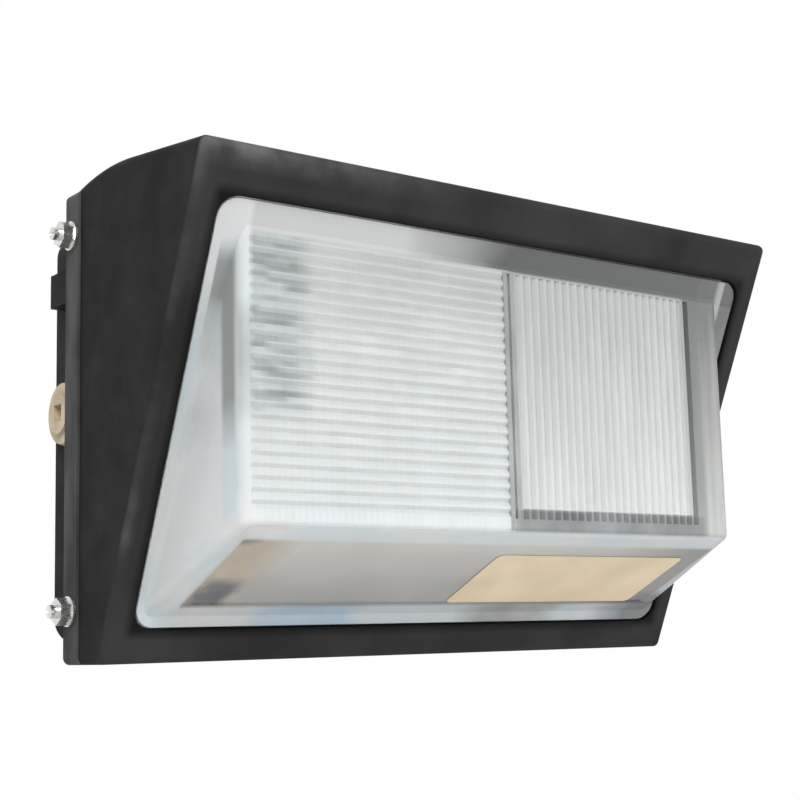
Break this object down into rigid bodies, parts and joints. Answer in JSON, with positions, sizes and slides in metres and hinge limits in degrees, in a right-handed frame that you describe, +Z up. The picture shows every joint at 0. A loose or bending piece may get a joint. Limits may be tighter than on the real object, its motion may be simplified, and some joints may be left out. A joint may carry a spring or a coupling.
{
  "type": "wall light",
  "caption": "Outdoor wall pack light: cast hood with a sloping fascia and prismatic glass refractor, hinged on a shallow back housing that holds the lamp and its control gear.",
  "frame": {"origin": "centre of the wire entry, on the wall face of the back housing, at mid-height of the hood", "axes": "+X to the right seen from the front, along the long side; +Y into the wall; +Z up; the light faces -Y"},
  "size_m": [0.4385, 0.1849, 0.262],
  "materials": {
    "bronze_casting": "die-cast, dark bronze powder coat, satin",
    "prismatic_glass": "pressed prismatic glass",
    "pale_gasket": "pale silicone",
    "black_rubber": "matt",
    "plated_steel": "zinc plated",
    "bright_steel": "bright",
    "tan_plastic": "tan, matt",
    "bright_aluminium": "specular sheet",
    "porcelain": "glazed porcelain",
    "contact_brass": "nickelled brass",
    "lamp_glass": "clear",
    "arc_tube_ceramic": "translucent ceramic",
    "core_iron": "varnished laminations",
    "coil_wrap": "varnished winding",
    "can_aluminium": "drawn can",
    "ignitor_plastic": "potted black case",
    "terminal_plastic": "cream",
    "ground_green": "green ground screw"
  },
  "bodies": {
    "housing": {"back_housing": "bronze_casting", "housing_gasket": "black_rubber", "hinge_pin_upper": "plated_steel", "hinge_pin_lower": "plated_steel", "conduit_plug_left": "tan_plastic", "conduit_plug_right": "tan_plastic", "conduit_plug_top": "tan_plastic", "plug_seals": "black_rubber", "reflector": "bright_aluminium", "reflector_screws": "plated_steel", "socket_bracket": "plated_steel", "lamp_socket": "porcelain", "socket_contacts": "contact_brass", "socket_screws": "plated_steel", "ballast_core": "core_iron", "ballast_coils": "coil_wrap", "ballast_screws": "plated_steel", "capacitor": "can_aluminium", "capacitor_strap": "plated_steel", "strap_screws": "plated_steel", "ignitor": "ignitor_plastic", "ignitor_screw": "plated_steel", "terminal_block": "terminal_plastic", "ground_screw": "ground_green"},
    "hood_assembly": {"hood": "bronze_casting", "refractor": "prismatic_glass", "refractor_gasket": "pale_gasket", "refractor_clips": "plated_steel", "clip_screws": "plated_steel"},
    "upper_screw": {"hood_screw_upper": "bright_steel", "upper_screw_washer": "bright_steel"},
    "lower_screw": {"hood_screw_lower": "bright_steel", "lower_screw_washer": "bright_steel"},
    "lamp": {"lamp_bulb": "lamp_glass", "lamp_base": "contact_brass", "lamp_arc_tube": "arc_tube_ceramic"}
  },
  "joints": [
    {"name": "hood_hinge", "type": "hinge", "parent": "housing", "child": "hood_assembly", "pos_m": [0.214, -0.038, 0], "axis": [0, 0, 1], "range_deg": [0, 100]},
    {"name": "upper_screw_loosen", "type": "slide", "parent": "housing", "child": "upper_screw", "axis": [-1, 0, 0], "range_m": [0, 0.004]},
    {"name": "lower_screw_loosen", "type": "slide", "parent": "housing", "child": "lower_screw", "axis": [-1, 0, 0], "range_m": [0, 0.004]},
    {"name": "lamp_turn", "type": "hinge", "parent": "housing", "child": "lamp", "pos_m": [0, -0.1, -0.01], "axis": [1, 0, 0], "continuous": true}
  ]
}
